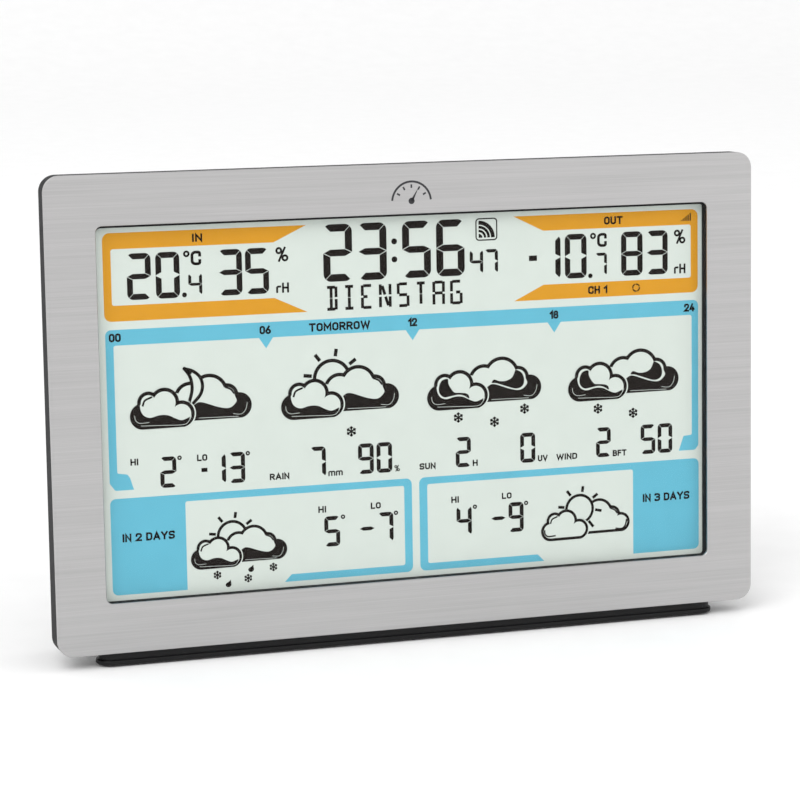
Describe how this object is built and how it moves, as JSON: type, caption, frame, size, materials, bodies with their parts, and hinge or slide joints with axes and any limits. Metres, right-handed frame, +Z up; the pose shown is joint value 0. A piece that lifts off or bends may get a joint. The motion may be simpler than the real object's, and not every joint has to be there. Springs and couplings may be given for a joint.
{
  "type": "home weather station",
  "caption": "Desktop weather station with a brushed metal face, a wide segment display, rear controls, a battery bay, a front foot rail and a fold-out prop leg.",
  "frame": {"origin": "middle of the footprint on the table, under the centre of the overall box", "axes": "+Z up, +X to the right seen from the front, the display faces -Y"},
  "size_m": [0.23, 0.0478, 0.1503],
  "materials": {
    "fascia_metal": "brushed",
    "case_plastic": "fine texture",
    "foot_plastic": "satin",
    "rubber": "matte",
    "foam": "matte",
    "clear_acrylic": "polished",
    "display_glass": "polished",
    "display_film": "satin",
    "white_plastic": "satin",
    "contact_rubber": "matte",
    "circuit_board": "solder mask",
    "chip_resin": "matte",
    "led_body": "satin",
    "module_shield": "satin",
    "can_sleeve": "gloss",
    "wire_insulation": "satin",
    "antenna_wire": "bare",
    "plated_steel": "plated",
    "cell_jacket": "gloss",
    "control_plastic": "satin"
  },
  "bodies": {
    "housing": {"fascia_plate": "fascia_metal", "front_bezel": "case_plastic", "rear_shell": "case_plastic", "foot_rail": "foot_plastic", "foot_strip": "rubber", "display_gasket": "foam", "display_window": "clear_acrylic", "light_guide": "clear_acrylic", "lcd_front_glass": "display_glass", "lcd_rear_glass": "display_glass", "lcd_front_polariser": "display_film", "lcd_rear_polariser": "display_film", "lcd_holder": "white_plastic", "light_reflector": "white_plastic", "zebra_strips": "contact_rubber", "main_board": "circuit_board", "backlight_strip": "circuit_board", "sensor_board": "circuit_board", "display_driver": "chip_resin", "microcontroller": "chip_resin", "slide_switch": "chip_resin", "button_switches": "chip_resin", "snooze_switches": "chip_resin", "dc_inlet_body": "chip_resin", "piezo_sounder": "chip_resin", "backlight_leds": "led_body", "climate_sensor": "led_body", "wifi_module": "module_shield", "radio_receiver": "module_shield", "timing_crystal": "module_shield", "capacitors": "can_sleeve", "battery_leads": "wire_insulation", "radio_antenna": "antenna_wire", "shell_screws": "plated_steel", "holder_screws": "plated_steel", "board_screws": "plated_steel", "rail_screws": "plated_steel", "stand_hinge_pin": "plated_steel", "battery_plates": "plated_steel", "battery_springs": "plated_steel", "dc_inlet_pin": "plated_steel", "sensor_header": "plated_steel", "battery_cells": "cell_jacket"},
    "prop_leg": {"stand_leg": "case_plastic", "stand_leg_pad": "rubber"},
    "door": {"battery_door": "case_plastic"},
    "snooze": {"snooze_bar": "control_plastic"},
    "switch_knob": {"slide_knob": "control_plastic"},
    "key_mode": {"button_mode": "control_plastic"},
    "key_set": {"button_set": "control_plastic"},
    "key_up": {"button_up": "control_plastic"},
    "key_down": {"button_down": "control_plastic"},
    "key_channel": {"button_channel": "control_plastic"},
    "key_radio": {"button_radio": "control_plastic"}
  },
  "joints": [
    {"name": "leg_fold", "type": "hinge", "parent": "housing", "child": "prop_leg", "pos_m": [0, 0.0054, 0.06305], "axis": [-1, 0, 0], "range_deg": [0, 18]},
    {"name": "door_slide", "type": "slide", "parent": "housing", "child": "door", "axis": [0, -0.0523, -0.9986], "range_m": [0, 0.008]},
    {"name": "snooze_press", "type": "slide", "parent": "housing", "child": "snooze", "axis": [0, -0.0523, -0.9986], "range_m": [0, 0.0008], "stiffness_N_per_m": 1500, "springref_m": -0.0003},
    {"name": "knob_slide", "type": "slide", "parent": "housing", "child": "switch_knob", "axis": [1, 0, 0], "range_m": [0, 0.004]},
    {"name": "mode_press", "type": "slide", "parent": "housing", "child": "key_mode", "axis": [0, -0.9986, 0.0523], "range_m": [0, 0.0006], "stiffness_N_per_m": 2000, "springref_m": -0.0002},
    {"name": "set_press", "type": "slide", "parent": "housing", "child": "key_set", "axis": [0, -0.9986, 0.0523], "range_m": [0, 0.0006], "stiffness_N_per_m": 2000, "springref_m": -0.0002},
    {"name": "up_press", "type": "slide", "parent": "housing", "child": "key_up", "axis": [0, -0.9986, 0.0523], "range_m": [0, 0.0006], "stiffness_N_per_m": 2000, "springref_m": -0.0002},
    {"name": "down_press", "type": "slide", "parent": "housing", "child": "key_down", "axis": [0, -0.9986, 0.0523], "range_m": [0, 0.0006], "stiffness_N_per_m": 2000, "springref_m": -0.0002},
    {"name": "channel_press", "type": "slide", "parent": "housing", "child": "key_channel", "axis": [0, -0.9986, 0.0523], "range_m": [0, 0.0006], "stiffness_N_per_m": 2000, "springref_m": -0.0002},
    {"name": "radio_press", "type": "slide", "parent": "housing", "child": "key_radio", "axis": [0, -0.9986, 0.0523], "range_m": [0, 0.0006], "stiffness_N_per_m": 2000, "springref_m": -0.0002}
  ]
}
